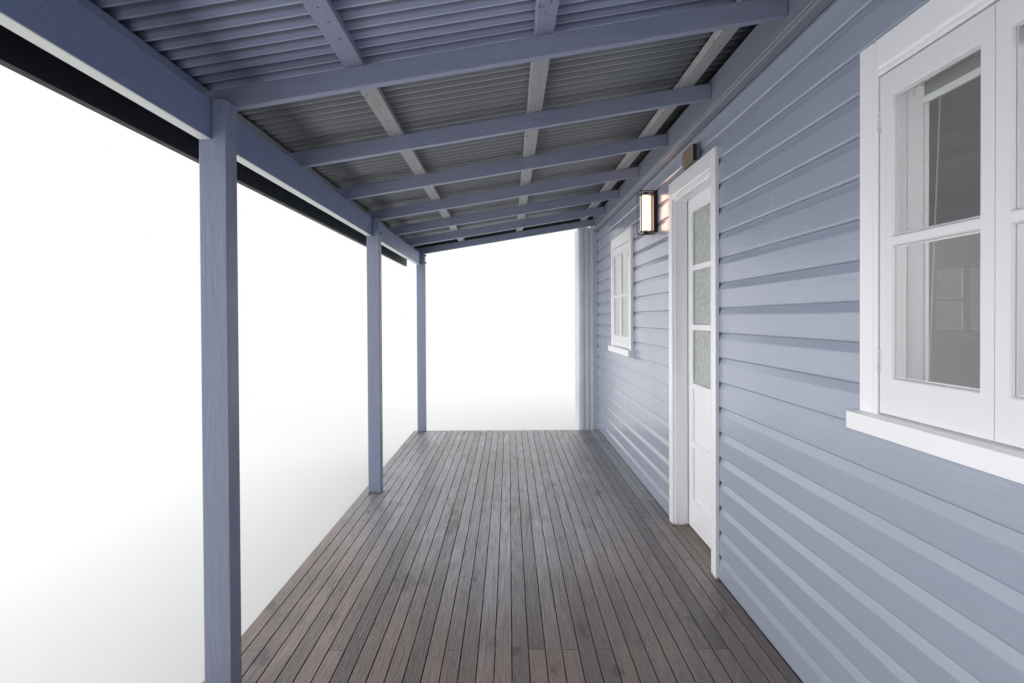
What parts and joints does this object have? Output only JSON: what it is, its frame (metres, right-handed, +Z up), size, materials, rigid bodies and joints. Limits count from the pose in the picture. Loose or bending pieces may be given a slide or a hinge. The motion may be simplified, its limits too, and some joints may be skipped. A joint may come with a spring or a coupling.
{
  "type": "beach house",
  "caption": "Single-storey weatherboard beach house with a gable roof and a posted verandah, its panelled front door swinging inwards.",
  "frame": {"origin": "on the ground under the middle of the whole house and verandah", "axes": "+X from the verandah to the back of the house, +Y along the verandah, +Z up"},
  "size_m": [9.391, 10.11, 4.556],
  "materials": {
    "board_paint": "satin blue-grey paint on weatherboards",
    "frame_paint": "satin slate-blue paint on sawn timber",
    "batten_paint": "old grey paint, weathered",
    "white_paint": "white enamel paint with fine brush marks",
    "deck_timber": "weathered oiled hardwood",
    "floor_timber": "varnished floor boards",
    "frame_timber": "bare sawn framing",
    "stump_timber": "grey weathered hardwood stump",
    "weathered_board": "bare weathered board with dark edges",
    "wall_lining": "painted wall lining",
    "roof_steel": "dull corrugated steel",
    "dark_trim": "charcoal paint",
    "ribbed_steel": "blue-grey ribbed steel",
    "clear_glass": "clear window glass",
    "obscure_glass": "rippled obscure glass",
    "opal_glass": "opal glass, lit warm white",
    "lantern_metal": "black powder coat",
    "knob_metal": "dark aged brass",
    "painted_metal_white": "steel hinge painted over in white",
    "blind_cloth": "white roller blind cloth"
  },
  "bodies": {
    "house": {"stumps": "stump_timber", "bearers": "frame_timber", "joists": "frame_timber", "floor": "floor_timber", "base_boards": "frame_paint", "front_wall_near": "wall_lining", "front_wall_far": "wall_lining", "front_wall_over_door": "wall_lining", "back_wall": "wall_lining", "end_walls": "wall_lining", "front_boards": "board_paint", "back_boards": "board_paint", "end_boards": "board_paint", "corner_boards": "board_paint", "ceiling": "wall_lining", "roof_rafters": "frame_timber", "roof_battens": "frame_timber", "roof_sheets": "roof_steel", "ridge_cap": "roof_steel", "barge_boards": "dark_trim", "eave_linings": "white_paint", "fascias": "dark_trim", "gutters": "dark_trim", "deck_boards": "deck_timber", "verandah_posts": "frame_paint", "verandah_beam": "frame_paint", "verandah_rafters": "frame_paint", "verandah_battens": "batten_paint", "verandah_roof": "roof_steel", "rafter_ledger": "board_paint", "door_frame": "white_paint", "door_sill": "deck_timber", "door_hinges": "painted_metal_white", "window_frames": "white_paint", "window_sashes": "white_paint", "window_glass": "clear_glass", "roller_blind": "blind_cloth", "wall_lantern": "lantern_metal", "lantern_glass": "opal_glass", "name_board": "weathered_board", "ribbed_cupboard": "ribbed_steel"},
    "door": {"door_leaf": "white_paint", "door_glass": "obscure_glass", "door_knobs": "knob_metal", "hinge_leaves": "painted_metal_white"}
  },
  "joints": [
    {"name": "door_swing", "type": "hinge", "parent": "house", "child": "door", "pos_m": [-2.1715, 0.4495, 1.35], "axis": [0, 0, 1], "range_deg": [0, 95]}
  ]
}
